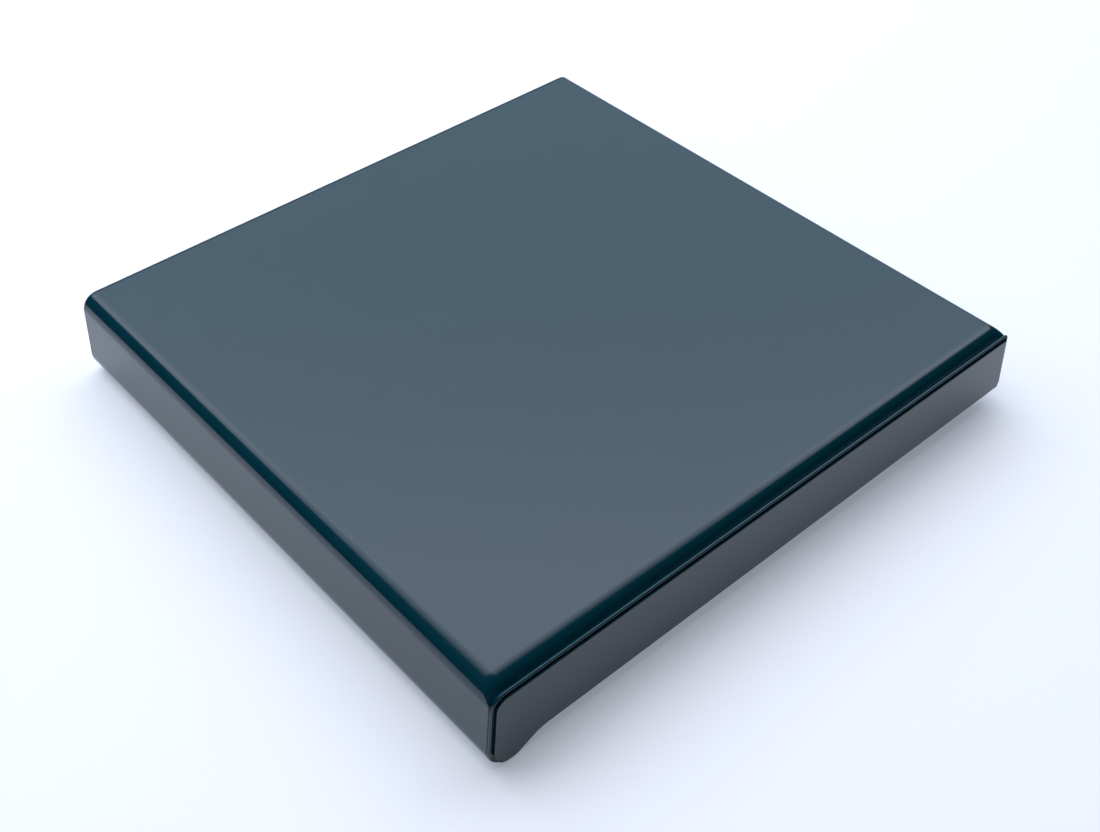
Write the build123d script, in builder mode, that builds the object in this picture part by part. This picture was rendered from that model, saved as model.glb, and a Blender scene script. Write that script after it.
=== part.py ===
"""Flat sheet-metal cap for a square fence or gate pillar.

The cap is a shallow pan of folded sheet with rolled edges.  Its front skirt ends in a deep
drip nose, its rear skirt turns in at the bottom, and a separate plate closes each end.
Two hat rails bonded under the top keep it flat and carry the threaded inserts.

Frame: +Z up, nose towards -Y, end plates at -X and +X.  The origin lies in the middle of
the pillar's top, on the plane where the seat strips rest.
"""
import os
from math import cos, radians, sin, tan

from build123d import *

# --- Cap: overall form -----------------------------------------------------------------
cap_width = 400.0  # X, over both end plates
fold_depth = 401.6  # Y, between the front and the rear skirt, just under their rolls
roll_radius = 8.0  # outside radius of the front and rear rolled top edges
end_roll_radius = 8.5  # outside radius of the two rolled edges beside the end plates
front_splay = 5.0  # degrees that the front skirt opens outwards
rear_splay = 6.5  # degrees that the rear skirt opens outwards
sheet = 2.0  # wall of the cover

# --- Front nose and rear turn-in, measured down from the top plane ----------------------
nose_depth = 57.8  # lowest point of the nose
nose_radius = 13.8  # outside radius of the nose's round
flank_angle = 27.0  # degrees, slope of the nose's inner flank
flank_radius = 24.0  # hollow radius where the flank runs into the lower edge
front_depth = 50.1  # lower edge behind the nose
rear_depth = 46.0  # lower edge at the rear; between the two it rises in a straight line
heel_radius = 5.0  # outside radius of the rear turn-in
front_lip = 10.0  # flat of the lip behind the hollow radius
rear_lip = 15.0  # flat of the rear lip

# --- End plates --------------------------------------------------------------------------
plate_thickness = 3.0
plate_drop = 3.4  # plate's upper edge below the top plane; elsewhere it is flush with the skirts
plate_front_corner = 9.5  # radius of the plate's upper front corner
plate_rear_corner = 2.5  # radius of the plate's upper rear corner
rim_round = 2.3  # round of the plate's outer rim

# --- Hat rails ---------------------------------------------------------------------------
rail_spacing = 180.0  # Y, from rail to rail, centre to centre
rail_height = 26.0
rail_crown = 38.0  # outside width of the crown
rail_flange = 16.0  # each bonding flange
rail_sheet = 2.0
rail_bend = 3.0  # outside bend radius
rail_end_gap = 1.0  # between a rail's end and the start of the end roll's inside

# --- Bonding, seat and damping -------------------------------------------------------------
bond_thickness = 1.0
bond_margin = 2.0  # bonding strip stays this far inside its flange
strip_thickness = 2.0
strip_width = 30.0
strip_end_gap = 12.0  # seat strip shorter than its rail at each end
mat_thickness = 2.0
mat_side_gap = 12.0  # between the mat and the rail flanges
mat_length = 320.0
mat_corner = 10.0

# --- Threaded inserts for the anchor studs ---------------------------------------------------
insert_spacing = 240.0  # X, along each rail
insert_bore = 6.8  # tapping size of an M8 thread
insert_body = 11.0
insert_length = 15.0
insert_flange = 14.0
insert_flange_thickness = 2.0  # flush with the seat strip's underside
insert_hole_clearance = 0.1  # hole in the rail, on the radius
strip_hole_clearance = 1.5  # hole in the seat strip round the insert's flange, on the radius

# --- Weld studs, washers and nuts of the end plates -------------------------------------------
stud_places = (-145.0, 0.0, 145.0)  # Y
stud_below_top = 26.0
stud_diameter = 5.0
stud_hole_clearance = 0.4  # on the radius, in the cover's end skirt
stud_tail = 1.5  # stud past its nut
washer_diameter = 10.0
washer_thickness = 1.0
nut_flats = 8.0
nut_height = 4.0
thread_clearance = 0.05  # between stud and nut or washer, on the radius
head_chamfer = 0.5

# --- Levels and places that follow from the sizes above ----------------------------------------
strip_top = strip_thickness
crown_level = strip_top
flange_level = crown_level + rail_height
top_under = flange_level + bond_thickness
top_level = top_under + sheet
cover_half = cap_width / 2 - plate_thickness
inner_half = cover_half - sheet
rail_length = 2 * (inner_half - (end_roll_radius - sheet) - rail_end_gap)
rail_pitch = rail_crown / 2 + rail_flange
stud_level = top_level - stud_below_top
stud_length = sheet + washer_thickness + nut_height + stud_tail
front_level = top_level - front_depth
rear_level = top_level - rear_depth
nose_level = top_level - nose_depth
front_slant = radians(front_splay)
rear_slant = radians(rear_splay)
flank = radians(flank_angle)


def skirt_line(level, grow, slant):
    """Distance from the XZ plane to a skirt's surface at a level, moved out by grow."""
    return fold_depth / 2 + tan(slant) * (top_level - roll_radius - level) + grow / cos(slant)


def nose_tip(grow):
    """Corner where the front skirt's line meets the line of the nose's inner flank."""
    radius = nose_radius + grow
    centre_z = nose_level + nose_radius
    centre_y = nose_radius / cos(front_slant) - skirt_line(centre_z, 0, front_slant)
    touch_y = centre_y + radius * sin(flank)
    touch_z = centre_z - radius * cos(flank)
    past_line = touch_y + skirt_line(touch_z, grow, front_slant)
    run = past_line / (cos(flank) - tan(front_slant) * sin(flank))
    return touch_y - run * cos(flank), touch_z - run * sin(flank)


def flank_foot(grow):
    """Corner where the nose's inner flank meets the lower edge."""
    tip_y, tip_z = nose_tip(grow)
    return tip_y + (front_level - grow - tip_z) / tan(flank), front_level - grow


def heel_point(grow):
    """Corner where the lower edge meets the rear skirt."""
    lower = rear_level - grow
    return skirt_line(lower, grow, rear_slant), lower


def side_outline(grow, drop, front_corner, rear_corner):
    """Side view of the cap, moved out by grow, with its upper edge drop below the top."""
    upper = top_level - drop
    with BuildSketch() as outline:
        with BuildLine():
            Polyline(
                (-skirt_line(upper, grow, front_slant), upper),
                nose_tip(grow),
                flank_foot(grow),
                heel_point(grow),
                (skirt_line(upper, grow, rear_slant), upper),
                close=True,
            )
        make_face()
        fillet(outline.vertices().group_by(Axis.Y)[-1].sort_by(Axis.X)[0], front_corner)
        fillet(outline.vertices().group_by(Axis.Y)[-1].sort_by(Axis.X)[-1], rear_corner)
        tip = outline.vertices().sort_by_distance(nose_tip(grow))[0]
        fillet(tip, nose_radius + grow)
        foot = outline.vertices().sort_by_distance(flank_foot(grow))[0]
        fillet(foot, flank_radius - grow)
        heel = outline.vertices().sort_by_distance(heel_point(grow))[0]
        fillet(heel, heel_radius + grow)
    return outline.sketch


def end_outline(half_width, upper, radius):
    """End view of the pan: upper corners rolled, open-ended far below the nose."""
    floor = nose_level - nose_depth
    with BuildSketch() as outline:
        with BuildLine():
            Polyline(
                (-half_width, floor),
                (-half_width, upper),
                (half_width, upper),
                (half_width, floor),
                close=True,
            )
        make_face()
        fillet(outline.vertices().group_by(Axis.Y)[-1], radius)
    return outline.sketch


def pan_block(grow, drop, half_width):
    """Solid with the pan's side outline and its rolled ends, mitred at the corners."""
    overlong_half = half_width + roll_radius
    roll = roll_radius + grow
    side_view = side_outline(grow, drop, roll, roll)
    end_view = end_outline(half_width, top_level - drop, end_roll_radius + grow)
    with BuildPart() as block:
        with BuildSketch(Plane.YZ.offset(-overlong_half)):
            add(side_view)
        extrude(amount=2 * overlong_half)
        with BuildSketch(Plane.XZ.offset(-fold_depth)):
            add(end_view)
        extrude(amount=2 * fold_depth, mode=Mode.INTERSECT)
    return block.part


# --- Cover: one folded sheet --------------------------------------------------------------------
def make_cover():
    mouth_front = flank_foot(0)[0] + flank_radius * tan(flank / 2) + front_lip
    mouth_rear = heel_point(0)[0] - heel_radius - rear_lip
    mouth_middle = (mouth_front + mouth_rear) / 2
    mouth_height = rear_level - front_level + 3 * sheet
    stud_hole = stud_diameter / 2 + stud_hole_clearance
    outside = pan_block(0, 0, cover_half)
    inside = pan_block(-sheet, sheet, inner_half)
    with BuildPart() as cover:
        add(outside)
        add(inside, mode=Mode.SUBTRACT)
        with BuildSketch(Plane.XY.offset(front_level - sheet)):
            with Locations((0, mouth_middle)):
                Rectangle(2 * inner_half, mouth_rear - mouth_front)
        extrude(amount=mouth_height, mode=Mode.SUBTRACT)
        with BuildSketch(Plane.YZ):
            with Locations(*[(place, stud_level) for place in stud_places]):
                Circle(stud_hole)
        extrude(amount=cap_width, both=True, mode=Mode.SUBTRACT)
    return cover.part


# --- End plates ------------------------------------------------------------------------------------
def make_end_plate(side):
    """side is +1 at +X and -1 at -X; the rim is rounded on the outer face."""
    plate_view = side_outline(0, plate_drop, plate_front_corner, plate_rear_corner)
    with BuildPart() as plate:
        with BuildSketch(Plane.YZ.offset(side * cover_half)):
            add(plate_view)
        extrude(amount=side * plate_thickness)
        outer = plate.faces().filter_by(Axis.X).sort_by(Axis.X)[-1 if side > 0 else 0]
        fillet(outer.edges(), rim_round)
    return plate.part


def make_plate_studs(side):
    """Weld studs on the plate's inner face, pointing into the pan."""
    with BuildPart() as studs:
        with BuildSketch(Plane.YZ.offset(side * cover_half)):
            with Locations(*[(place, stud_level) for place in stud_places]):
                Circle(stud_diameter / 2)
        extrude(amount=-side * stud_length)
        tails = studs.faces().filter_by(Axis.X).group_by(Axis.X)[0 if side > 0 else -1]
        chamfer(tails.edges(), head_chamfer)
    return studs.part


def make_stud_washers(side):
    with BuildPart() as washers:
        with BuildSketch(Plane.YZ.offset(side * inner_half)):
            with Locations(*[(place, stud_level) for place in stud_places]):
                Circle(washer_diameter / 2)
                Circle(stud_diameter / 2 + thread_clearance, mode=Mode.SUBTRACT)
        extrude(amount=-side * washer_thickness)
    return washers.part


def make_stud_nuts(side):
    with BuildPart() as nuts:
        with BuildSketch(Plane.YZ.offset(side * (inner_half - washer_thickness))):
            with Locations(*[(place, stud_level) for place in stud_places]):
                RegularPolygon(nut_flats / 2, 6, major_radius=False)
                Circle(stud_diameter / 2 + thread_clearance, mode=Mode.SUBTRACT)
        extrude(amount=-side * nut_height)
    return nuts.part


# --- Hat rails ---------------------------------------------------------------------------------------
def insert_spots(rail_y):
    return [(-insert_spacing / 2, rail_y), (insert_spacing / 2, rail_y)]


def make_rail(rail_y):
    """Hat section with its crown down and its two flanges up against the bonding strips."""
    crown = rail_crown / 2
    with BuildPart() as rail:
        with BuildSketch(Plane.YZ) as section:
            with BuildLine():
                Polyline(
                    (rail_y - rail_pitch, flange_level),
                    (rail_y - crown + rail_sheet, flange_level),
                    (rail_y - crown + rail_sheet, crown_level + rail_sheet),
                    (rail_y + crown - rail_sheet, crown_level + rail_sheet),
                    (rail_y + crown - rail_sheet, flange_level),
                    (rail_y + rail_pitch, flange_level),
                    (rail_y + rail_pitch, flange_level - rail_sheet),
                    (rail_y + crown, flange_level - rail_sheet),
                    (rail_y + crown, crown_level),
                    (rail_y - crown, crown_level),
                    (rail_y - crown, flange_level - rail_sheet),
                    (rail_y - rail_pitch, flange_level - rail_sheet),
                    close=True,
                )
            make_face()
            fillet(section.vertices().group_by(Axis.Y)[0], rail_bend)
            inner_level = crown_level + rail_sheet
            inner = section.vertices().filter_by_position(Axis.Y, inner_level, inner_level)
            fillet(inner, rail_bend - rail_sheet)
        extrude(amount=rail_length / 2, both=True)
        with BuildSketch(Plane.XY.offset(crown_level)):
            with Locations(*insert_spots(rail_y)):
                Circle(insert_body / 2 + insert_hole_clearance)
        extrude(amount=rail_sheet, mode=Mode.SUBTRACT)
    return rail.part


def make_bond_strips(rail_y):
    """Double-sided bonding strips between the rail's flanges and the underside of the top."""
    width = rail_flange - 2 * bond_margin
    offset_y = rail_crown / 2 + rail_flange / 2
    with BuildPart() as strips:
        with BuildSketch(Plane.XY.offset(flange_level)):
            with Locations((0, rail_y - offset_y), (0, rail_y + offset_y)):
                Rectangle(rail_length - 2 * bond_margin, width)
        extrude(amount=bond_thickness)
    return strips.part


def make_inserts(rail_y):
    """Blind rivet nuts: flange under the crown, threaded body up inside the hat."""
    with BuildPart() as inserts:
        with BuildSketch(Plane.XY.offset(crown_level - insert_flange_thickness)):
            with Locations(*insert_spots(rail_y)):
                Circle(insert_flange / 2)
        extrude(amount=insert_flange_thickness)
        with BuildSketch(Plane.XY.offset(crown_level)):
            with Locations(*insert_spots(rail_y)):
                Circle(insert_body / 2)
        extrude(amount=insert_length)
        with BuildSketch(Plane.XY.offset(crown_level - insert_flange_thickness)):
            with Locations(*insert_spots(rail_y)):
                Circle(insert_bore / 2)
        extrude(amount=insert_flange_thickness + insert_length, mode=Mode.SUBTRACT)
    return inserts.part


def make_seat_strip(rail_y):
    """Rubber strip under the crown, with a hole round each insert's flange."""
    with BuildPart() as strip:
        with BuildSketch():
            with Locations((0, rail_y)):
                SlotOverall(rail_length - 2 * strip_end_gap, strip_width)
            with Locations(*insert_spots(rail_y)):
                Circle(insert_flange / 2 + strip_hole_clearance, mode=Mode.SUBTRACT)
        extrude(amount=strip_thickness)
    return strip.part


def make_mat():
    """Self-adhesive damping mat on the underside of the top, between the rails."""
    width = rail_spacing - 2 * (rail_pitch + mat_side_gap)
    with BuildPart() as mat:
        with BuildSketch(Plane.XY.offset(top_under)):
            RectangleRounded(mat_length, width, mat_corner)
        extrude(amount=-mat_thickness)
    return mat.part


# --- Write every piece as its own node --------------------------------------------------------------------
pieces = {"cover": make_cover(), "anti_drum_mat": make_mat()}
for name, side in (("left", -1), ("right", 1)):
    pieces[f"{name}_end_plate"] = make_end_plate(side)
    pieces[f"{name}_plate_studs"] = make_plate_studs(side)
    pieces[f"{name}_stud_washers"] = make_stud_washers(side)
    pieces[f"{name}_stud_nuts"] = make_stud_nuts(side)
for name, rail_y in (("front", -rail_spacing / 2), ("rear", rail_spacing / 2)):
    pieces[f"{name}_rail"] = make_rail(rail_y)
    pieces[f"{name}_rail_bond_strips"] = make_bond_strips(rail_y)
    pieces[f"{name}_rail_inserts"] = make_inserts(rail_y)
    pieces[f"{name}_seat_strip"] = make_seat_strip(rail_y)

os.makedirs("parts", exist_ok=True)
for name, piece in pieces.items():
    piece.label = name
    export_step(piece, f"parts/{name}.step")
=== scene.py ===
# %% [markdown]
# # A flat cap for a square fence pillar
#
# The cap is a shallow pan of folded sheet with rolled edges and a deep drip nose in front.  A
# separate plate closes each end.  Under the top sit two hat rails, their bonding strips, the
# threaded inserts, the seat strips and a damping mat.
#
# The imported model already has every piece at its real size.  This lesson dresses it: the pan
# and its end plates get finer shapes, the threads are cut, every piece gets its finish, and the
# light and the camera are set up.

# %% Load the frame
import math

import bmesh
import bpy
from mathutils import Matrix, Vector


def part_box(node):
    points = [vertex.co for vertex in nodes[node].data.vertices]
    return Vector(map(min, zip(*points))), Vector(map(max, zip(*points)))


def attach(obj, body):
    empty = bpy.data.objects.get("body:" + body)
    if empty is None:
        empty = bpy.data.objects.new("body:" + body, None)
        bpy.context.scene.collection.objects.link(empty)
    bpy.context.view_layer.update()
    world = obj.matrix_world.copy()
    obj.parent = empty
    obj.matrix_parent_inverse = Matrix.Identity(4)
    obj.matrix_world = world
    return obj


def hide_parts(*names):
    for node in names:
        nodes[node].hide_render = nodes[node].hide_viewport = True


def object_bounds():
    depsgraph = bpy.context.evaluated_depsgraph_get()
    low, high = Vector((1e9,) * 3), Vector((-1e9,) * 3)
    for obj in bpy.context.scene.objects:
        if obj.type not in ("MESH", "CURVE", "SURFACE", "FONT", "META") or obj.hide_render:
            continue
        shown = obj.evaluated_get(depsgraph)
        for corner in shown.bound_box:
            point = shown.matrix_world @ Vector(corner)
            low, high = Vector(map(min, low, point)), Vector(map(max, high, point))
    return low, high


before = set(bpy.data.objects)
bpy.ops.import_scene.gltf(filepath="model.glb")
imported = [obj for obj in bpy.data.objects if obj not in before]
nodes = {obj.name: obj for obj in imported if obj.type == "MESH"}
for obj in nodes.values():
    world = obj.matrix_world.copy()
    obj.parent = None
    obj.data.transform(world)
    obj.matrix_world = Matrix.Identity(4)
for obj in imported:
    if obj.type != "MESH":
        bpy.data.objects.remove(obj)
cad_low, cad_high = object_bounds()
print(f"cap {[round((b - a) * 1000, 1) for a, b in zip(cad_low, cad_high)]} mm, {len(nodes)} nodes")

# %% [markdown]
# ## Helpers for finishes
#
# Every finish is built from nodes that read the piece's own Object coordinates, so that a
# pattern stays on its piece wherever the piece goes.  The nodes could be wired by hand in the
# editor.  A few short helpers do the same and keep it readable: one makes noise, one maps it to
# a range, one mixes two colours and one turns a height into bump.

# %% Helpers for finishes
def new_material(name):
    """Material with its node tree and its shader."""
    material = bpy.data.materials.new(name)
    material.use_nodes = True
    tree = material.node_tree
    shader = tree.nodes["Principled BSDF"]
    return material, tree, shader


def object_noise(tree, scale, detail):
    """Noise from 0 to 1 on the piece's own coordinates."""
    place = tree.nodes.new("ShaderNodeTexCoord")
    noise = tree.nodes.new("ShaderNodeTexNoise")
    noise.inputs["Scale"].default_value = scale
    noise.inputs["Detail"].default_value = detail
    tree.links.new(place.outputs["Object"], noise.inputs["Vector"])
    return noise.outputs["Fac"]


def ramp_between(tree, factor, low, high):
    """Map 0 to 1 on a range."""
    ramp = tree.nodes.new("ShaderNodeMapRange")
    ramp.inputs["To Min"].default_value = low
    ramp.inputs["To Max"].default_value = high
    tree.links.new(factor, ramp.inputs["Value"])
    return ramp.outputs["Result"]


def blend_colours(tree, factor, first, second):
    mix = tree.nodes.new("ShaderNodeMix")
    mix.data_type = "RGBA"
    mix.inputs[6].default_value = (*first, 1.0)
    mix.inputs[7].default_value = (*second, 1.0)
    tree.links.new(factor, mix.inputs[0])
    return mix.outputs[2]


def bump_from(tree, height, strength, distance):
    """Normal for a height; the distance is its depth in metres."""
    bump = tree.nodes.new("ShaderNodeBump")
    bump.inputs["Strength"].default_value = strength
    bump.inputs["Distance"].default_value = distance
    tree.links.new(height, bump.inputs["Height"])
    return bump.outputs["Normal"]


def finish_nodes(material, *names):
    """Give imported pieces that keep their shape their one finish."""
    for name in names:
        nodes[name].data.materials.clear()
        nodes[name].data.materials.append(material)


print(f"{len(nodes)} nodes wait for a finish")

# %% [markdown]
# ## The gloss coat
#
# The sheet is powder coated in a dark petrol blue.  The powder melts and flows out, so the coat
# is glossy but never dead flat: it keeps a fine orange peel, and it is a little thicker and
# thinner from place to place.
#
# One plain colour with a low roughness would look like plastic film.  Here a coarse noise shifts
# colour and roughness a little, and a fine one gives the peel.  The gloss itself is left to the
# shader: a clear dielectric over a dark base is what gives the deep look.

# %% Gloss powder coat
coat_thin = (0.0003, 0.0325, 0.0495)
coat_thick = (0.0004, 0.0380, 0.0572)
coat, tree, shader = new_material("petrol_gloss_coat")
clouds = object_noise(tree, scale=35.0, detail=3.0)
peel = object_noise(tree, scale=900.0, detail=1.0)
tree.links.new(blend_colours(tree, clouds, coat_thin, coat_thick), shader.inputs["Base Color"])
tree.links.new(ramp_between(tree, clouds, low=0.12, high=0.16), shader.inputs["Roughness"])
tree.links.new(bump_from(tree, peel, strength=0.02, distance=0.0001), shader.inputs["Normal"])
shader.inputs["IOR"].default_value = 1.5
print("finish:", coat.name)

# %% [markdown]
# ## The side outline
#
# Seen from the side, pan and end plates share one outline: rolled upper edges, a front skirt
# that ends in the round drip nose, a hollow where the nose runs into the lower edge, and a
# small heel at the rear.  A curve with handles could draw it, but no bend would have a true
# radius then.  So it is drawn as five sharp corners first, and each corner is swapped for an arc,
# which is how a sheet-metal worker reads it too: straight runs and bend radii.
#
# Lengths here are in millimetres, in the side view's own plane: along Y, and up.

# %% Corners of the side outline
millimetre = 0.001
top = cad_high.z / millimetre
fold_depth = 401.6  # between the skirts, just under their rolls
roll_radius = 8.0
front_roll = 11.0
heel_radius = 5.0
nose_radius = 13.8
hollow_radius = 24.0
front_slant = math.radians(5.0)
rear_slant = math.radians(6.5)
nose_level = cad_low.z / millimetre
flank = math.radians(27.0)  # slope of the nose's inner side
front_level = top - 50.1  # lower edge, just behind the nose
rear_level = top - 46.0  # lower edge at the rear
heel_corner, hollow_corner = 0, 4  # their places in the list of corners


def skirt_reach(level, slant):
    """How far out a skirt is at a level."""
    return fold_depth / 2 + math.tan(slant) * (top - roll_radius - level)


def meeting_point(first, second):
    """Where two lines cross, each given as a point and a direction."""
    (start, along), (other_start, other_along) = first, second
    run = (other_start - start).cross(other_along) / along.cross(other_along)
    return start + along * run


def side_corners(drop):
    """Sharp corners, anticlockwise: heel, upper rear, upper front, nose tip, hollow."""
    upper = top - drop
    skirt_foot = Vector((-skirt_reach(nose_level, front_slant), nose_level))
    down_skirt = Vector((-math.sin(front_slant), -math.cos(front_slant)))
    nose_height = nose_level + nose_radius
    nose_inwards = nose_radius / math.cos(front_slant) - skirt_reach(nose_height, front_slant)
    nose_middle = Vector((nose_inwards, nose_height))
    flank_touch = nose_middle + Vector((math.sin(flank), -math.cos(flank))) * nose_radius
    up_flank = Vector((math.cos(flank), math.sin(flank)))
    tip = meeting_point((skirt_foot, down_skirt), (flank_touch, up_flank))
    hollow = flank_touch + up_flank * ((front_level - flank_touch.y) / up_flank.y)
    heel = Vector((skirt_reach(rear_level, rear_slant), rear_level))
    rear = Vector((skirt_reach(upper, rear_slant), upper))
    front = Vector((-skirt_reach(upper, front_slant), upper))
    return [heel, rear, front, tip, hollow]


print("side outline:", [(round(c.x, 1), round(c.y, 1)) for c in side_corners(0)])


# %% Moving an outline inwards and rounding its corners
def moved_in(corners, distance):
    """The same outline with each of its sides moved inwards."""
    sides = []
    for here, there in zip(corners, corners[1:] + corners[:1]):
        along = (there - here).normalized()
        sides.append((here + Vector((-along.y, along.x)) * distance, along))
    return [meeting_point(sides[k - 1], sides[k]) for k in range(len(sides))]


def rounded(corners, radii, steps):
    """Points round the outline, with an arc at each corner, and the way that each one faces."""
    points, facings = [], []
    for k, (corner, radius, count) in enumerate(zip(corners, radii, steps)):
        arriving = (corner - corners[k - 1]).normalized()
        leaving = (corners[(k + 1) % len(corners)] - corner).normalized()
        turn = math.atan2(arriving.cross(leaving), arriving.dot(leaving))
        bulge = math.copysign(radius, turn)
        outward = Vector((arriving.y, -arriving.x))
        centre = corner - arriving * radius * math.tan(abs(turn) / 2) - outward * bulge
        for step in range(count + 1):
            facing = Matrix.Rotation(turn * step / count, 2) @ outward
            points.append(centre + facing * bulge)
            facings.append(facing)
    return points, facings


def with_shifted_bends(radii, distance, tightest):
    """Bend radii of an outline moved inwards: the hollow bend grows and the others shrink."""
    return [
        r + distance if k == hollow_corner else max(r - distance, tightest)
        for k, r in enumerate(radii)
    ]


arc_steps = (8, 16, 16, 26, 10)  # how finely each bend is drawn, in the corners' order
pan_radii = (heel_radius, roll_radius, front_roll, nose_radius, hollow_radius)
outline_points, _ = rounded(side_corners(0), pan_radii, arc_steps)
print("rounded outline:", len(outline_points), "points")

# %% [markdown]
# ## The pan
#
# The pan is one folded sheet.  A block with a Bevel modifier would have the same round on all of
# its edges.  This shape follows a rule instead, so Geometry Nodes can make it: take the side
# outline, draw it out to the cap's width, and roll its two ends over.  Along the top of the right
# end the roll is as large as the bending tool, and at the left end it is almost square.  Down
# the skirts it shrinks to the small round of a welded and ground corner.  Where the rolls meet,
# the corner is soft at the top and crisp further down, as a corner that was dressed by hand.
#
# The script lays out a plain sheet of points first.  Each point knows its place on the outline,
# the way it faces, how far round the end roll it sits, and how large its roll should be.  The
# tree then moves every point by the rule.  Outside and inside are two layers of the same sheet.

# %% Points of the pan
sheet = 2.0
pan_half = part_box("cover")[1].x / millimetre
front_lip = 10.0
rear_lip = 15.0
end_steps = 14  # how finely an end roll is drawn
roll_start = 0.12  # how far a facing leans upwards where the end roll begins to grow
mouth_front = side_corners(0)[hollow_corner].x + hollow_radius * math.tan(flank / 2) + front_lip
mouth_rear = side_corners(0)[heel_corner].x - heel_radius - rear_lip


def on_lower_edge(corners, y):
    """Point of the outline's lower edge at a given distance along the cap."""
    hollow, heel = corners[hollow_corner], corners[heel_corner]
    return hollow + (heel - hollow) * ((y - hollow.x) / (heel.x - hollow.x))


def roll_share(facing):
    """1 where the end roll is full, 0 where it is only the small round of a ground corner."""
    share = min(max((facing.y - roll_start) / (1 - roll_start), 0.0), 1.0)
    return share * share * (3 - 2 * share)


def pan_layer(depth):
    """Open outline of one layer, from the rear lip's edge over the top to the front lip's edge."""
    corners = moved_in(side_corners(0), depth)
    radii = with_shifted_bends(pan_radii, depth, tightest=0.0)
    points, facings = rounded(corners, radii, arc_steps)
    points = [on_lower_edge(corners, mouth_rear)] + points + [on_lower_edge(corners, mouth_front)]
    return points, [facings[0]] + facings + [facings[-1]]


print(f"the pan's mouth is {mouth_rear - mouth_front:.1f} mm deep")

# %% The pan laid out as a plain sheet
def pan_sheet():
    """Flat-laid places of the pan's points, their facts, and the faces between them."""
    places = []
    facts = {"facing": [], "side": [], "turn": [], "share": [], "layer": []}

    def add_point(point, facing, side, turn, share, layer):
        places.append((0.0, point.x * millimetre, point.y * millimetre))
        facts["facing"].append((0.0, facing.x, facing.y))
        for name, value in (("side", side), ("turn", turn), ("share", share), ("layer", layer)):
            facts[name].append(float(value))
        return len(places) - 1

    quarter = [math.pi / 2 * step / end_steps for step in range(end_steps + 1)]
    columns = [(-1, turn) for turn in reversed(quarter)] + [(1, turn) for turn in quarter]
    grids = []
    for layer in (0, 1):
        grid = []
        for point, facing in zip(*pan_layer(sheet * layer)):
            share = roll_share(facing)
            grid.append([add_point(point, facing, *column, share, layer) for column in columns])
        grids.append(grid)
    sills = {}
    for side in (-1, 1):
        for name, y in (("rear", mouth_rear), ("front", mouth_front)):
            edge = on_lower_edge(side_corners(0), y)
            sills[side, name] = add_point(edge, Vector((0, 0)), side, math.pi / 2, 0, 1)
    return places, facts, pan_faces(grids, sills)


def pan_faces(grids, sills):
    """Both layers, the cut edges of the mouth between them, and the two end walls."""
    outer, inner = grids
    last = len(outer[0]) - 1
    faces = []
    for upper, lower in zip(outer, outer[1:]):
        faces += [(upper[c], upper[c + 1], lower[c + 1], lower[c]) for c in range(last)]
    for upper, lower in zip(inner, inner[1:]):
        faces += [(upper[c], lower[c], lower[c + 1], upper[c + 1]) for c in range(last)]
    for out, lined in ((outer[0], inner[0]), (outer[-1], inner[-1])):
        faces += [(out[c], lined[c], lined[c + 1], out[c + 1]) for c in range(last)]
    for side, column in ((-1, 0), (1, last)):
        wall = [row[column] for row in outer]
        lining = [row[column] for row in inner] + [sills[side, "front"], sills[side, "rear"]]
        edge = [wall[-1], wall[0], sills[side, "rear"], sills[side, "front"]]
        ends = [
            [wall[-1], sills[side, "front"], inner[-1][column]],
            [wall[0], inner[0][column], sills[side, "rear"]],
        ]
        faces += [wall, lining, edge, *ends]
    return faces


places, facts, faces = pan_sheet()
print(f"pan: {len(places)} points, {len(faces)} faces before rolling")

# %% [markdown]
# ## Helpers for Geometry Nodes
#
# A node tree is easier to read as a formula.  These helpers add a node, join its inputs to
# sockets or plain numbers, and hand back its output.  Every tree ends alike: its instances become
# real points, because an exported file can't hold instances, and one finish is set.

# %% Helpers that build a tree
def new_tree(name, sizes):
    """Node group with geometry in and out and named sizes, given in metres."""
    kinds = {float: "NodeSocketFloat", int: "NodeSocketInt", tuple: "NodeSocketVector"}
    tree = bpy.data.node_groups.new(name, "GeometryNodeTree")
    tree.interface.new_socket("Geometry", in_out="INPUT", socket_type="NodeSocketGeometry")
    for size, value in sizes.items():
        socket = tree.interface.new_socket(size, in_out="INPUT", socket_type=kinds[type(value)])
        socket.default_value = value
    tree.interface.new_socket("Geometry", in_out="OUTPUT", socket_type="NodeSocketGeometry")
    return tree, tree.nodes.new("NodeGroupInput"), tree.nodes.new("NodeGroupOutput")


def wire(tree, source, target):
    """Join an output to an input, or set the input where the source is a plain value."""
    if isinstance(source, bpy.types.NodeSocket):
        tree.links.new(source, target)
    else:
        target.default_value = source


def math_node(tree, operation, *values):
    node = tree.nodes.new("ShaderNodeMath")
    node.operation = operation
    for value, target in zip(values, node.inputs):
        wire(tree, value, target)
    return node.outputs[0]


def vector_node(tree, operation, first, second):
    node = tree.nodes.new("ShaderNodeVectorMath")
    node.operation = operation
    wire(tree, first, node.inputs[0])
    wire(tree, second, node.inputs["Scale"] if operation == "SCALE" else node.inputs[1])
    return node.outputs[0]


def named_fact(tree, name, kind="FLOAT"):
    """What each point knows about itself under this name."""
    node = tree.nodes.new("GeometryNodeInputNamedAttribute")
    node.data_type = kind
    node.inputs["Name"].default_value = name
    return node.outputs["Attribute"]


def shape_node(tree, kind, **inputs):
    """Any other node, with its inputs given by name."""
    node = tree.nodes.new(kind)
    for name, value in inputs.items():
        wire(tree, value, node.inputs[name.replace("_", " ")])
    return node


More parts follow.
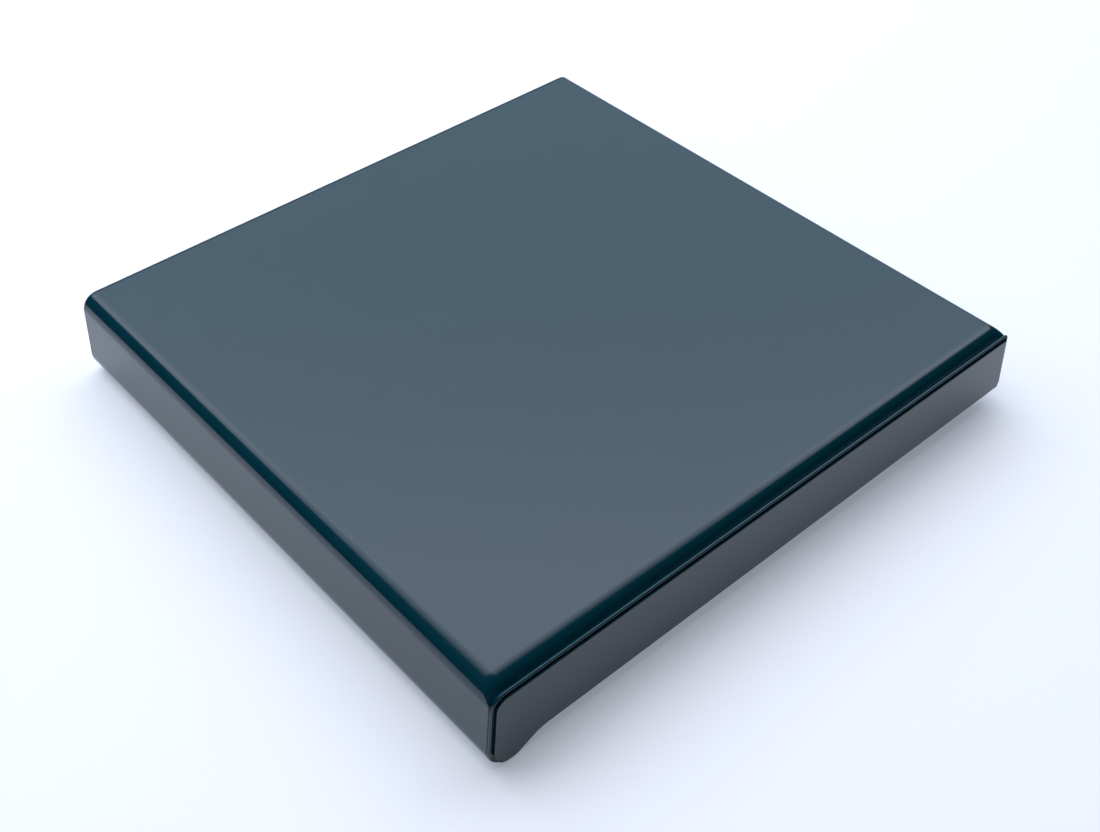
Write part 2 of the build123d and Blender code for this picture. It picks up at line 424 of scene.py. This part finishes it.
def finish_tree(tree, geometry, material, output):
    """End a tree as every tree here ends: real points, no instances, one finish."""
    real = shape_node(tree, "GeometryNodeRealizeInstances", Geometry=geometry).outputs[0]
    painted = shape_node(tree, "GeometryNodeSetMaterial", Geometry=real, Material=material)
    tree.links.new(painted.outputs[0], output.inputs[0])
    print(f"rule {tree.name}: {len(tree.nodes)} nodes")


print("helpers for trees are ready")

# %% [markdown]
# ## Helpers that bake a piece
#
# A tree is put on a piece as a modifier, its named sizes are set by their sockets' identifiers,
# and the result is baked to a plain mesh.  A modifier could stay live, but a plain mesh gives
# the same shape wherever the file is opened.  After that every piece is treated alike: its faces
# are turned outwards, its bends are shaded smooth while the flats stay flat, it is hung on the
# body that carries it, and the imported pieces that it stands for are hidden.

# %% Helpers that bake a piece
def new_piece(name, points, faces):
    """Object at the origin whose mesh has the given points, in metres."""
    mesh = bpy.data.meshes.new(name)
    mesh.from_pydata(points, [], faces)
    piece = bpy.data.objects.new(name, mesh)
    bpy.context.scene.collection.objects.link(piece)
    return piece


def learn_facts(piece, facts):
    """Write down on the points what each of them knows: a number or a direction by each name."""
    for name, values in facts.items():
        if isinstance(values[0], tuple):
            attribute = piece.data.attributes.new(name, "FLOAT_VECTOR", "POINT")
            flat = [number for value in values for number in value]
            attribute.data.foreach_set("vector", flat)
        else:
            piece.data.attributes.new(name, "FLOAT", "POINT").data.foreach_set("value", values)


def forget_facts(piece, facts):
    for name in facts:
        piece.data.attributes.remove(piece.data.attributes[name])


def baked(piece):
    """Turn what the modifiers make into the piece's own plain mesh."""
    graph = bpy.context.evaluated_depsgraph_get()
    graph.update()
    mesh = bpy.data.meshes.new_from_object(piece.evaluated_get(graph))
    piece.modifiers.clear()
    piece.data = mesh
    return piece


def shaped_by(piece, tree, sizes):
    """Let a tree shape the piece, with these sizes, and bake it."""
    modifier = piece.modifiers.new(tree.name, "NODES")
    modifier.node_group = tree
    for socket in tree.interface.items_tree:
        if socket.name in sizes:
            modifier[socket.identifier] = sizes[socket.name]
    return baked(piece)


def smoothed(piece, sharpest=40.0):
    """Face everything outwards and shade the bends smooth without dulling the flats."""
    edit = bmesh.new()
    edit.from_mesh(piece.data)
    bmesh.ops.recalc_face_normals(edit, faces=edit.faces)
    for face in edit.faces:
        face.smooth = True
    edit.to_mesh(piece.data)
    edit.free()
    piece.data.set_sharp_from_angle(angle=math.radians(sharpest))
    modifier = piece.modifiers.new("flats first", "WEIGHTED_NORMAL")
    modifier.keep_sharp = True
    return baked(piece)


def in_the_cap(piece, slot, *replaced):
    """Hang the piece on the root body, hide the imported nodes that it stands for, and print its
    slot.
    """
    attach(piece, "root")
    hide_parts(*replaced)
    print(f"{piece.name}: {len(piece.data.polygons)} faces, in {slot}")


print("helpers for pieces are ready")

# %% [markdown]
# ## Rolling the pan's ends
#
# The rule moves each point in two ways.  Across the cap it sets the point at the half width,
# less what the roll takes away.  At a right angle to the surface it lets the point sink as the
# roll turns down.  The inner layer follows a roll that is smaller by the sheet's thickness, so
# the wall keeps its gauge all round.  Solidify could add the inner layer afterwards, but at the
# small ground corners it folds over itself.

# %% The rule that rolls the pan's ends
pan_sizes = {
    "Half Width": pan_half * millimetre,
    "Sheet": sheet * millimetre,
    "Right End Roll": 11.0 * millimetre,
    "Left End Roll": 0.6 * millimetre,
    "Ground Corner": 0.5 * millimetre,
    "Tightest Bend": 0.3 * millimetre,
}
pan_tree, given, output = new_tree("rolled_pan_ends", pan_sizes)
size = given.outputs


def rolling(operation, *values):
    """One step of this rule's arithmetic."""
    return math_node(pan_tree, operation, *values)


layer_depth = rolling("MULTIPLY", named_fact(pan_tree, "layer"), size["Sheet"])
rightness = rolling("MULTIPLY_ADD", named_fact(pan_tree, "side"), 0.5, 0.5)
more = rolling("SUBTRACT", size["Right End Roll"], size["Left End Roll"])
end_roll = rolling("MULTIPLY_ADD", rightness, more, size["Left End Roll"])
growth = rolling("SUBTRACT", end_roll, size["Ground Corner"])
wanted = rolling("MULTIPLY_ADD", named_fact(pan_tree, "share"), growth, size["Ground Corner"])
wanted = rolling("SUBTRACT", wanted, layer_depth)
radius = rolling("MAXIMUM", wanted, size["Tightest Bend"])
turn = named_fact(pan_tree, "turn")
half_width = rolling("SUBTRACT", size["Half Width"], layer_depth)
short = rolling("MULTIPLY", radius, rolling("SUBTRACT", 1.0, rolling("SINE", turn)))
reach = rolling("MULTIPLY", named_fact(pan_tree, "side"), rolling("SUBTRACT", half_width, short))
sink = rolling("MULTIPLY", radius, rolling("SUBTRACT", rolling("COSINE", turn), 1.0))
sunk = vector_node(pan_tree, "SCALE", named_fact(pan_tree, "facing", "FLOAT_VECTOR"), sink)
across = shape_node(pan_tree, "ShaderNodeCombineXYZ", X=reach)
shift = vector_node(pan_tree, "ADD", sunk, across.outputs[0])
moved = shape_node(pan_tree, "GeometryNodeSetPosition", Geometry=size[0], Offset=shift)
finish_tree(pan_tree, moved.outputs[0], coat, output)

# %% Roll the pan
cover = new_piece("folded_cover", places, faces)
learn_facts(cover, facts)
shaped_by(cover, pan_tree, pan_sizes)
forget_facts(cover, facts)
smoothed(cover)
in_the_cap(cover, "coated_sheet", "cover")

# %% [markdown]
# ## The end plates
#
# The right plate is cut to the side outline a little below the top, so the pan's end roll shows
# above it.  Its rim is a raised bead, and inside the bead runs a narrow groove.  In the light the
# bead is a fine bright line and the groove a black one, right round the end of the cap.  The left
# plate closes the other end flush: it has the pan's own outline and a plain small round.
#
# A groove can be cut with a boolean, which leaves thin, ragged faces along a bead this small.
# So a plate is made like an onion: one ring after another, each moved in from the outline by
# some amount and standing at some height, and a flat sheet to close each face.

# %% Sizes of the end plates
plate_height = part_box("right_end_plate")[1].x / millimetre - pan_half
right_outline = {"drop": 3.4, "radii": (heel_radius, 2.5, 9.5, nose_radius, hollow_radius)}
left_outline = {"drop": 0.0, "radii": pan_radii}
back_step = 0.4  # the back's outermost ring lies this far inside the rim
field_step = 1.2  # and the flat field begins this far past the last round
tightest_bend = 0.4
bead = 0.9  # radius of the half-round bead
crest = (0.1, 0.03)  # the bead's flat crest: how far it runs and how far it falls
groove = (1.05, 2.75)  # from the edge of the plate
groove_floor = 0.4  # the groove's height above the plate's inner face
groove_round = 0.2
groove_end = -0.85  # how far a facing leans downwards where the groove has run out
groove_fade = 0.4  # and over how much leaning it comes back
groove_fill = 0.97  # how nearly the groove closes where it has run out
shoulder = (2.0, 1.5)  # how far down and how far inwards the back follows the end roll
flush_round = 2.9
print(f"end plates: {plate_height:.1f} mm thick")


# %% Sections and rings of the end plates
def arc_section(inset, height, radius, start, end, count):
    """Points (inset, height) round an arc, with its angles in degrees."""
    angles = [math.radians(start + (end - start) * step / count) for step in range(count + 1)]
    return [(inset + radius * math.cos(a), height + radius * math.sin(a)) for a in angles]


def rimmed_section():
    """From the back, out over the shoulder and the bead, through the groove, to the field."""
    down, inwards = shoulder
    rim_inset, rim_height = groove[1] + groove_round, plate_height - groove_round
    return [
        (down + back_step, 0.0),
        (down, -inwards),
        *arc_section(bead, bead, bead, 250, 90, 12),
        (bead + crest[0], 2 * bead - crest[1]),
        (groove[0], groove_floor),
        (groove[1], groove_floor),
        *arc_section(rim_inset, rim_height, groove_round, 180, 90, 4),
        (groove[1] + field_step, plate_height),
    ]


def flush_section():
    """From the back, out over a plain round, to the field."""
    rim = arc_section(flush_round, plate_height - flush_round, flush_round, 180, 90, 10)
    return [(back_step, 0.0), (0.0, 0.0), *rim, (flush_round + field_step, plate_height)]


def groove_share(facing):
    """1 where the groove has its full depth, 0 along the bottom, where it runs out."""
    return min(max((facing.y - groove_end) / groove_fade, 0.0), 1.0)


def plate_ring(inset, height, grooved, drop, radii):
    """Points (x, y, z) of one ring, with the groove filled where it runs out."""
    corners = moved_in(side_corners(drop), inset)
    bends = with_shifted_bends(radii, inset, tightest_bend)
    ring = []
    for point, facing in zip(*rounded(corners, bends, arc_steps)):
        if height < 0:
            stands = height * roll_share(facing)
        elif grooved and inset >= groove[0]:
            stands = height + (plate_height - height) * groove_fill * (1 - groove_share(facing))
        else:
            stands = height
        ring.append((pan_half + stands, point.x, point.y))
    return ring


print(f"sections: {len(rimmed_section())} rings right, {len(flush_section())} left")


# %% Make the end plates
def make_end_plate(name, side, section, grooved, outline):
    """Rings of one section joined up and closed by a flat face on each side."""
    points, faces = [], []
    for inset, height in section:
        ring = plate_ring(inset, height, grooved, **outline)
        points += [(side * x * millimetre, y * millimetre, z * millimetre) for x, y, z in ring]
    rings = len(section)
    count = len(points) // rings
    for ring in range(rings - 1):
        for k in range(count):
            here, there = ring * count + k, ring * count + (k + 1) % count
            faces.append((here, there, there + count, here + count))
    faces += [tuple(range(count)), tuple(range((rings - 1) * count, rings * count))]
    plate = new_piece(name, points, faces)
    plate.data.materials.append(coat)
    return smoothed(plate)


right_plate = make_end_plate("right_rimmed_plate", 1, rimmed_section(), True, right_outline)
left_plate = make_end_plate("left_flush_plate", -1, flush_section(), False, left_outline)
in_the_cap(right_plate, "coated_plate", "right_end_plate")
in_the_cap(left_plate, "coated_plate", "left_end_plate")

# %% [markdown]
# ## Bright zinc
#
# Studs, inserts, washers and nuts are small steel parts with bright zinc on them.  The zinc is
# never as clean as chrome: it is a little cloudy and has fine scratches from the tumbling drum.
# A metal shader with one roughness would look like chrome, so noise varies colour and roughness.

# %% Bright zinc
zinc_dull = (0.50, 0.52, 0.55)
zinc_bright = (0.64, 0.66, 0.69)
zinc, tree, shader = new_material("bright_zinc")
clouds = object_noise(tree, scale=400.0, detail=3.0)
scratches = object_noise(tree, scale=2500.0, detail=2.0)
tree.links.new(blend_colours(tree, clouds, zinc_dull, zinc_bright), shader.inputs["Base Color"])
tree.links.new(ramp_between(tree, clouds, low=0.24, high=0.4), shader.inputs["Roughness"])
tree.links.new(bump_from(tree, scratches, strength=0.15, distance=0.00005), shader.inputs["Normal"])
shader.inputs["Metallic"].default_value = 1.0
finish_nodes(zinc, "left_stud_washers", "right_stud_washers", "left_stud_nuts", "right_stud_nuts")
print("finish:", zinc.name)

# %% [markdown]
# ## Studs and inserts
#
# Each end plate carries three short M5 studs that pass through the pan's end wall.  Each rail
# carries two M8 inserts, turned from steel, with a thread inside and a knurled body that grips.
#
# A Screw modifier can wind a thread from a small triangle, but it leaves the ends open.  A
# thread is a rule too: at any point its radius depends on how far along and how far round it
# is.  So the profile is laid out as a plain sheet of points, and one tree rolls it round, cuts
# the thread and the knurls, and sets the finished part at every place along a line.

# %% The rule that turns and threads
round_sizes = {
    "Pitch": 0.8 * millimetre,
    "Thread Depth": 0.35 * millimetre,
    "Knurl Depth": 0.3 * millimetre,
    "Knurls": 24.0,
    "Start": (0.0, 0.0, 0.0),
    "Step": (0.0, 0.0, 0.0),
    "Turn": (0.0, 0.0, 0.0),
    "Count": 2,
}
round_tree, given, output = new_tree("turned_and_threaded", round_sizes)
size = given.outputs


def turning(operation, *values):
    """One step of this rule's arithmetic."""
    return math_node(round_tree, operation, *values)


angle = named_fact(round_tree, "angle")
along = named_fact(round_tree, "along")
turns = turning("DIVIDE", angle, 2 * math.pi)
phase = turning("SUBTRACT", turning("DIVIDE", along, size["Pitch"]), turns)
zigzag = turning("PINGPONG", phase, 0.5)
cut = turning("MULTIPLY", turning("MULTIPLY", zigzag, 2.0), size["Thread Depth"])
cut = turning("MULTIPLY", cut, named_fact(round_tree, "thread"))
ripple = turning("COSINE", turning("MULTIPLY", angle, size["Knurls"]))
ripple = turning("MULTIPLY_ADD", ripple, 0.5, 0.5)
knurl = turning("MULTIPLY", ripple, size["Knurl Depth"])
knurl = turning("MULTIPLY", knurl, named_fact(round_tree, "knurl"))
radius = turning("SUBTRACT", named_fact(round_tree, "radius"), cut)
radius = turning("SUBTRACT", radius, knurl)
turned = shape_node(
    round_tree,
    "ShaderNodeCombineXYZ",
    X=turning("MULTIPLY", radius, turning("COSINE", angle)),
    Y=turning("MULTIPLY", radius, turning("SINE", angle)),
    Z=along,
)
part = shape_node(
    round_tree,
    "GeometryNodeSetPosition",
    Geometry=size[0],
    Position=turned.outputs[0],
)
line = shape_node(
    round_tree,
    "GeometryNodeMeshLine",
    Count=size["Count"],
    Start_Location=size["Start"],
    Offset=size["Step"],
)
copies = shape_node(
    round_tree,
    "GeometryNodeInstanceOnPoints",
    Points=line.outputs[0],
    Instance=part.outputs[0],
    Rotation=size["Turn"],
)
finish_tree(round_tree, copies.outputs[0], zinc, output)


# %% From a profile to a turned piece
def turned_sheet(profile, columns, closed):
    """Facts and faces of a profile, each (along, radius, thread, knurl), laid out round an axis."""
    facts = {"along": [], "radius": [], "thread": [], "knurl": [], "angle": []}
    for along, radius, thread, knurl in profile:
        for column in range(columns):
            facts["along"].append(along * millimetre)
            facts["radius"].append(radius * millimetre)
            facts["thread"].append(float(thread))
            facts["knurl"].append(float(knurl))
            facts["angle"].append(2 * math.pi * column / columns)
    rows = len(profile)
    faces = []
    for row in range(rows if closed else rows - 1):
        here, there = row * columns, (row + 1) % rows * columns
        for c in range(columns):
            d = (c + 1) % columns
            faces.append((here + c, here + d, there + d, there + c))
    if not closed:
        faces += [tuple(range(columns)), tuple(range((rows - 1) * columns, rows * columns))]
    return facts, faces


def turn_and_place(name, sheet_parts, sizes, replaced):
    """Run the rule on a laid-out profile with these sizes and put the result in the cap."""
    facts, faces = sheet_parts
    piece = new_piece(name, [(0.0, 0.0, 0.0)] * len(facts["angle"]), faces)
    learn_facts(piece, facts)
    shaped_by(piece, round_tree, {**round_sizes, **sizes})
    forget_facts(piece, facts)
    smoothed(piece, sharpest=50.0)
    in_the_cap(piece, "zinc_steel", replaced)


def cut_steps(first, last, step):
    """Even steps along a thread or a knurl, from first to last."""
    count = max(round(abs(last - first) / step), 1)
    return [first + (last - first) * k / count for k in range(count + 1)]


print("a full M5 pitch is cut in", len(cut_steps(0.0, 0.8, 0.8 / 6)) - 1, "steps")

# %% Threaded studs
stud_level = (top - 26.0) * millimetre
stud_spacing = 0.145
stud_length = 8.5
stud_pitch = 0.8
stud_radius = 2.5
stud_profile = [(0.0, stud_radius, 0, 0), (0.9, stud_radius, 0, 0)]
for along in cut_steps(1.0, stud_length - 0.45, stud_pitch / 6):
    stud_profile.append((along, stud_radius, 1, 0))
stud_profile += [(stud_length - 0.4, 2.15, 0, 0), (stud_length, 1.8, 0, 0)]
for side_name, side in (("left", -1), ("right", 1)):
    stud_sizes = {
        "Pitch": stud_pitch * millimetre,
        "Thread Depth": 0.35 * millimetre,
        "Start": (side * pan_half * millimetre, -stud_spacing, stud_level),
        "Step": (0.0, stud_spacing, 0.0),
        "Turn": (0.0, -side * math.pi / 2, 0.0),
        "Count": 3,
    }
    stud_sheet = turned_sheet(stud_profile, columns=24, closed=False)
    studs = f"{side_name}_threaded_studs"
    turn_and_place(studs, stud_sheet, stud_sizes, f"{side_name}_plate_studs")

# %% Knurled inserts with their inner thread
insert_length = 17.0
insert_pitch = 1.25
body_radius = 5.5
mouth_radius = 3.9
thread_radius = 3.4
insert_profile = [
    (0.0, mouth_radius, 0, 0),
    (0.0, 6.8, 0, 0),
    (0.2, 7.0, 0, 0),
    (1.9, 7.0, 0, 0),
    (2.0, 6.9, 0, 0),
    (2.0, body_radius, 0, 0),
    (3.9, body_radius, 0, 0),
]
insert_profile += [(along, body_radius, 0, 1) for along in cut_steps(4.1, 13.0, 0.6)]
insert_profile += [
    (13.2, body_radius, 0, 0),
    (16.6, body_radius, 0, 0),
    (insert_length, 5.1, 0, 0),
    (insert_length, mouth_radius, 0, 0),
]
for along in cut_steps(insert_length - 0.5, 0.5, insert_pitch / 6):
    insert_profile.append((along, thread_radius, -1, 0))
for rail_name, rail_y in (("front", -0.09), ("rear", 0.09)):
    insert_sizes = {
        "Pitch": insert_pitch * millimetre,
        "Thread Depth": 0.45 * millimetre,
        "Start": (-0.12, rail_y, 0.0),
        "Step": (0.24, 0.0, 0.0),
        "Count": 2,
    }
    insert_sheet = turned_sheet(insert_profile, columns=72, closed=True)
    inserts = f"{rail_name}_knurled_inserts"
    turn_and_place(inserts, insert_sheet, insert_sizes, f"{rail_name}_rail_inserts")

# %% [markdown]
# ## Galvanised rails
#
# The rails are bent from galvanised sheet, and its zinc has frozen into spangles: flat crystals,
# each a little lighter or darker than the next.  An image of spangle would repeat itself along
# the rail.  Voronoi cells give each crystal its own shade and its own gloss and never repeat.

# %% Galvanised sheet
spangle_dark = (0.36, 0.38, 0.40)
spangle_light = (0.56, 0.58, 0.60)
galvanised, tree, shader = new_material("galvanised_spangle")
place = tree.nodes.new("ShaderNodeTexCoord")
spangle = tree.nodes.new("ShaderNodeTexVoronoi")
spangle.inputs["Scale"].default_value = 160.0
tree.links.new(place.outputs["Object"], spangle.inputs["Vector"])
crystal = tree.nodes.new("ShaderNodeSeparateColor")
tree.links.new(spangle.outputs["Color"], crystal.inputs["Color"])
grain = object_noise(tree, scale=1800.0, detail=2.0)
shade = blend_colours(tree, crystal.outputs["Red"], spangle_dark, spangle_light)
dullness = ramp_between(tree, crystal.outputs["Green"], low=0.32, high=0.52)
tree.links.new(shade, shader.inputs["Base Color"])
tree.links.new(dullness, shader.inputs["Roughness"])
tree.links.new(bump_from(tree, grain, strength=0.12, distance=0.0001), shader.inputs["Normal"])
shader.inputs["Metallic"].default_value = 1.0
finish_nodes(galvanised, "front_rail", "rear_rail")
print("finish:", galvanised.name)

# %% [markdown]
# ## Rubber, foam and bitumen
#
# The seat strips are black rubber, rolled with fine ribs along their length, the bonding tape is
# a closed foam, and the damping mat is bitumen with a pressed diamond pattern that lets the air
# out when it is rolled on.  All three are matt and speckled, so one helper makes them.  The ribs
# and diamonds are too fine to be worth modelling; they are waves across a direction, used as
# bump, and two sets of waves that cross give the diamonds.

# %% Helpers for matt finishes
def ribs_along(tree, direction, per_metre):
    """Waves of rib height across a direction, on the piece's own coordinates."""
    place = tree.nodes.new("ShaderNodeTexCoord")
    across = tree.nodes.new("ShaderNodeVectorMath")
    across.operation = "DOT_PRODUCT"
    across.inputs[1].default_value = [value * per_metre * 2 * math.pi for value in direction]
    tree.links.new(place.outputs["Object"], across.inputs[0])
    return math_node(tree, "SINE", across.outputs["Value"])


def lengthwise_ribs(tree):
    return ribs_along(tree, (0.0, 1.0, 0.0), per_metre=400.0)


def diamonds(tree):
    """Two sets of waves that cross."""
    waves = [ribs_along(tree, (0.7, way, 0.0), per_metre=90.0) for way in (0.7, -0.7)]
    return math_node(tree, "MULTIPLY", *waves)


def soft_finish(name, dark, light, roughness, speck, pattern=None, depth=0.0003):
    """Matt finish with a speckle, and with ribs or diamonds where a pattern is given."""
    material, tree, shader = new_material(name)
    specks = object_noise(tree, speck, detail=4.0)
    tree.links.new(blend_colours(tree, specks, dark, light), shader.inputs["Base Color"])
    tree.links.new(ramp_between(tree, specks, *roughness), shader.inputs["Roughness"])
    height, strength = (pattern(tree), 0.5) if pattern else (specks, 0.3)
    tree.links.new(bump_from(tree, height, strength, depth), shader.inputs["Normal"])
    print("finish:", name)
    return material


print("helpers for matt finishes are ready")

# %% Ribbed rubber, foam tape and bitumen
rubber = soft_finish(
    "ribbed_rubber",
    dark=(0.012, 0.012, 0.013),
    light=(0.028, 0.028, 0.03),
    roughness=(0.55, 0.75),
    speck=900.0,
    pattern=lengthwise_ribs,
)
foam = soft_finish(
    "foam_tape",
    dark=(0.03, 0.03, 0.033),
    light=(0.07, 0.07, 0.075),
    roughness=(0.85, 0.95),
    speck=3000.0,
)
bitumen = soft_finish(
    "pressed_bitumen",
    dark=(0.018, 0.018, 0.02),
    light=(0.035, 0.035, 0.038),
    roughness=(0.5, 0.7),
    speck=300.0,
    pattern=diamonds,
    depth=0.0005,
)
finish_nodes(rubber, "front_seat_strip", "rear_seat_strip")
finish_nodes(foam, "front_rail_bond_strips", "rear_rail_bond_strips")
finish_nodes(bitumen, "anti_drum_mat")

# %% [markdown]
# ## The floor
#
# The cap stands with its drip nose on a plain pale floor.  The gloss coat mirrors that floor in
# the skirts and the plates, so the floor is part of the look.  More lamp light would make the
# floor paler, and would wash out the coat too.  So the floor gives off a little light of its
# own, but only to the camera and in mirror images, which keeps it pale under the cap's shadow
# and adds no light to the cap itself.

# %% Floor
floor_half = 6.0
floor_colour = (0.83, 0.84, 0.88, 1.0)
glow_colour = (0.87, 0.94, 1.09, 1.0)
glow_strength = 0.28
floor_corners = [
    (x * floor_half, y * floor_half, cad_low.z) for x, y in ((-1, -1), (1, -1), (1, 1), (-1, 1))
]
floor = new_piece("floor", floor_corners, [(0, 1, 2, 3)])
floor_material, tree, shader = new_material("pale_floor")
shader.inputs["Base Color"].default_value = floor_colour
shader.inputs["Roughness"].default_value = 0.9
shader.inputs["Emission Color"].default_value = glow_colour
rays = tree.nodes.new("ShaderNodeLightPath").outputs
seen = math_node(tree, "MAXIMUM", rays["Is Camera Ray"], rays["Is Glossy Ray"])
seen = math_node(tree, "MAXIMUM", seen, rays["Is Transmission Ray"])
glow = math_node(tree, "MULTIPLY", seen, glow_strength)
tree.links.new(glow, shader.inputs["Emission Strength"])
floor.data.materials.append(floor_material)
print("floor level:", round(cad_low.z / millimetre, 1), "mm")

# %% [markdown]
# ## The light
#
# A glossy dark coat shows almost nothing but what it mirrors.  A picture of a studio on the
# world's sky would do it, and would light everything else too.  One large panel is easier to
# steer: it stands beyond the far left corner, where the camera sees it in the flat top, glows
# brighter towards its middle and fades out at its sides and at its upper edge.  The rolled edges
# turn away from the panel, so they fall into the coat's own deep petrol colour, and the cap gets
# its dark outline.
#
# The other lamps light the floor and the coat's colour, and are left out of the mirror images.
# The world is almost dark, so that it doesn't grey the rolls.

# %% World
world_colour = (0.8, 0.9, 1.0, 1.0)
world_strength = 0.012
world = bpy.data.worlds.new("studio")
bpy.context.scene.world = world
world.use_nodes = True
background = world.node_tree.nodes["Background"]
background.inputs["Color"].default_value = world_colour
background.inputs["Strength"].default_value = world_strength
print("world strength:", world_strength)


# %% Lamps that stay out of the mirror images
def softbox(name, place, aim, width, height, power, colour=(1, 1, 1), in_gloss=False):
    """Rectangular area lamp at a place, turned towards its aim; power in watts."""
    lamp = bpy.data.lights.new(name, "AREA")
    lamp.shape = "RECTANGLE"
    lamp.size = width
    lamp.size_y = height
    lamp.energy = power
    lamp.color = colour
    box = bpy.data.objects.new(name, lamp)
    box.location = place
    box.rotation_mode = "QUATERNION"
    box.rotation_quaternion = (Vector(aim) - Vector(place)).to_track_quat("-Z", "Y")
    box.visible_glossy = in_gloss
    box.visible_camera = False
    bpy.context.scene.collection.objects.link(box)
    print(f"lamp {name}: {power} W, {width} x {height} m")
    return box


cap_middle = (cad_low + cad_high) / 2
softbox("overhead", (-0.25, -0.35, 2.1), cap_middle, width=1.4, height=1.4, power=14.5)
softbox(
    "left_key",
    (-1.3, -1.5, 1.6),
    cap_middle,
    width=1.4,
    height=1.4,
    power=11.5,
    colour=(0.85, 0.95, 1.15),
)


# %% The panel that the top mirrors
def faded_side(tree, across, dark, bright):
    """0 at one side of a lamp, rising to 1 a little way in."""
    fade = tree.nodes.new("ShaderNodeMapRange")
    fade.inputs["From Min"].default_value = dark
    fade.inputs["From Max"].default_value = bright
    tree.links.new(across, fade.inputs["Value"])
    return fade.outputs["Result"]


def graded_panel(box, steps, side_fade):
    """Let a lamp glow step by step from its lower edge to its upper edge, with soft sides."""
    box.data.use_nodes = True
    tree = box.data.node_tree
    emission = tree.nodes["Emission"].inputs
    place = tree.nodes.new("ShaderNodeNewGeometry")
    split = tree.nodes.new("ShaderNodeSeparateXYZ")
    tree.links.new(place.outputs["Parametric"], split.inputs["Vector"])
    ramp = tree.nodes.new("ShaderNodeValToRGB")
    stops = ramp.color_ramp.elements
    while len(stops) < len(steps):
        stops.new(0.5)
    for stop, (height, colour) in zip(stops, steps):
        stop.position = height
        stop.color = (*colour, 1.0)
    tree.links.new(split.outputs["Y"], ramp.inputs["Fac"])
    tree.links.new(ramp.outputs["Color"], emission["Color"])
    one_side = faded_side(tree, split.outputs["X"], 0.0, side_fade)
    other_side = faded_side(tree, split.outputs["X"], 1.0, 1.0 - side_fade)
    tree.links.new(math_node(tree, "MULTIPLY", one_side, other_side), emission["Strength"])


panel_steps = [
    (0.0, (0.2, 0.25, 0.31)),
    (0.374, (0.78, 0.92, 1.08)),
    (0.481, (1.2, 1.32, 1.55)),
    (0.573, (1.65, 1.73, 2.03)),
    (0.6, (1.66, 1.72, 2.01)),
    (1.0, (0.0, 0.0, 0.0)),
]
panel = softbox(
    "far_panel",
    (-1.100, 0.723, 1.538),
    (0.004, -0.271, 0.200),
    width=4.6,
    height=3.37,
    power=71.5,
    in_gloss=True,
)
graded_panel(panel, panel_steps, side_fade=0.11)

# %% [markdown]
# ## The camera
#
# The camera looks down on the corner between the drip nose and the right plate, so that the top,
# the front skirt and one plate all show.  It could be turned by three angles.  Building its axes
# from the line of sight is less to get wrong: back points from the cap to the camera, right is
# level, and a slight roll tilts both.

# %% Camera
view_azimuth = math.radians(49.115)
view_elevation = math.radians(43.455)
view_roll = math.radians(-0.439)
view_distance = 0.8106
view_target = Vector((0.0729, -0.0540, 0.031))
back = Vector((
    math.sin(view_azimuth) * math.cos(view_elevation),
    -math.cos(view_azimuth) * math.cos(view_elevation),
    math.sin(view_elevation),
))
right = Vector((0, 0, 1)).cross(back).normalized()
tilt = Matrix.Rotation(view_roll, 3, back)
axes = Matrix((tilt @ right, tilt @ back.cross(right), back)).transposed()
camera_data = bpy.data.cameras.new("camera")
camera_data.sensor_width = 36.0
camera_data.lens = 47.33
camera_data.clip_start = 0.01
camera = bpy.data.objects.new("camera", camera_data)
camera.location = view_target + back * view_distance
camera.rotation_mode = "QUATERNION"
camera.rotation_quaternion = axes.to_quaternion()
bpy.context.scene.collection.objects.link(camera)
bpy.context.scene.camera = camera
bpy.context.scene.view_settings.view_transform = "Standard"
print("camera:", [round(value, 3) for value in camera.location])
